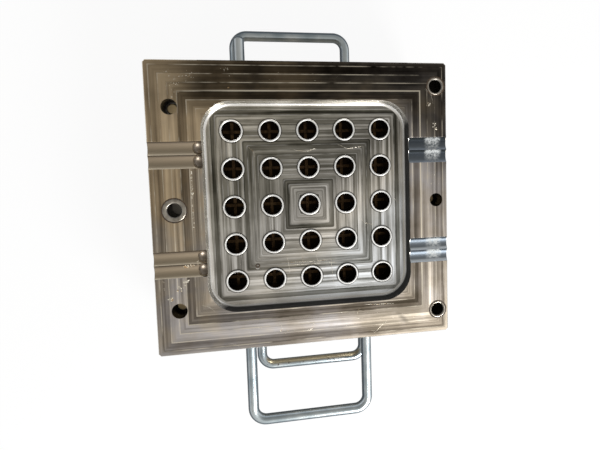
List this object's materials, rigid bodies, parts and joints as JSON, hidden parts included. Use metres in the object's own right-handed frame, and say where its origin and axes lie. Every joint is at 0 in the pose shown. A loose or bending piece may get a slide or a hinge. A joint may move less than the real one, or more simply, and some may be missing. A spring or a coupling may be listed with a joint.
{
  "type": "injection mould half",
  "caption": "Ejector half of a multi-cavity injection mould: milled plate with a round-cornered pocket, a grid of polished sleeves, feed grooves, guide bushes and bow handles.",
  "frame": {"origin": "centre of the ejector rod hole at the back face of the clamp plate, which is also the centre of the plates", "axes": "+Z out of the parting face, +X along the long side of the plates, +Y towards the side with the short post, -Y towards the two bow handles"},
  "size_m": [0.33, 0.463, 0.126],
  "materials": {
    "milled_steel": "face-milled tool steel with visible cutter passes, warm brown stains",
    "polished_steel": "ground and polished hardened steel",
    "tool_steel": "dark hardened steel, oil stained",
    "zinc_chrome": "bright bluish plated round bar",
    "black_steel": "blackened steel"
  },
  "bodies": {
    "mould": {"cavity_plate": "milled_steel", "support_plate": "milled_steel", "spacer_rail_lower": "milled_steel", "spacer_rail_upper": "milled_steel", "clamp_plate": "milled_steel", "core_sleeve_r1c1": "polished_steel", "core_sleeve_r1c2": "polished_steel", "core_sleeve_r1c3": "polished_steel", "core_sleeve_r1c4": "polished_steel", "core_sleeve_r1c5": "polished_steel", "core_sleeve_r2c1": "polished_steel", "core_sleeve_r2c2": "polished_steel", "core_sleeve_r2c3": "polished_steel", "core_sleeve_r2c4": "polished_steel", "core_sleeve_r2c5": "polished_steel", "core_sleeve_r3c1": "polished_steel", "core_sleeve_r3c2": "polished_steel", "core_sleeve_r3c3": "polished_steel", "core_sleeve_r3c4": "polished_steel", "core_sleeve_r3c5": "polished_steel", "core_sleeve_r4c1": "polished_steel", "core_sleeve_r4c2": "polished_steel", "core_sleeve_r4c3": "polished_steel", "core_sleeve_r4c4": "polished_steel", "core_sleeve_r4c5": "polished_steel", "core_sleeve_r5c1": "polished_steel", "core_sleeve_r5c2": "polished_steel", "core_sleeve_r5c3": "polished_steel", "core_sleeve_r5c4": "polished_steel", "core_sleeve_r5c5": "polished_steel", "guide_bush_left": "polished_steel", "guide_bush_right_top": "polished_steel", "guide_bush_right_bottom": "polished_steel", "handle_front": "zinc_chrome", "handle_rear_lower": "zinc_chrome", "handle_rear_upper": "zinc_chrome", "lifting_post": "zinc_chrome", "stack_screw_1": "black_steel", "stack_screw_2": "black_steel", "stack_screw_3": "black_steel", "stack_screw_4": "black_steel", "stop_button_1": "black_steel", "stop_button_2": "black_steel", "stop_button_3": "black_steel", "stop_button_4": "black_steel"},
    "ejector_package": {"ejector_plate": "milled_steel", "ejector_retainer_plate": "milled_steel", "ejector_plate_screws": "black_steel", "cross_pin_row_1": "tool_steel", "cross_pin_row_2": "tool_steel", "cross_pin_row_3": "tool_steel", "cross_pin_row_4": "tool_steel", "cross_pin_row_5": "tool_steel", "return_pin_left_top": "tool_steel", "return_pin_left_bottom": "tool_steel", "return_pin_right": "tool_steel"}
  },
  "joints": [
    {"name": "ejector_slide", "type": "slide", "parent": "mould", "child": "ejector_package", "axis": [0, 0, 1], "range_m": [0, 0.02]}
  ]
}
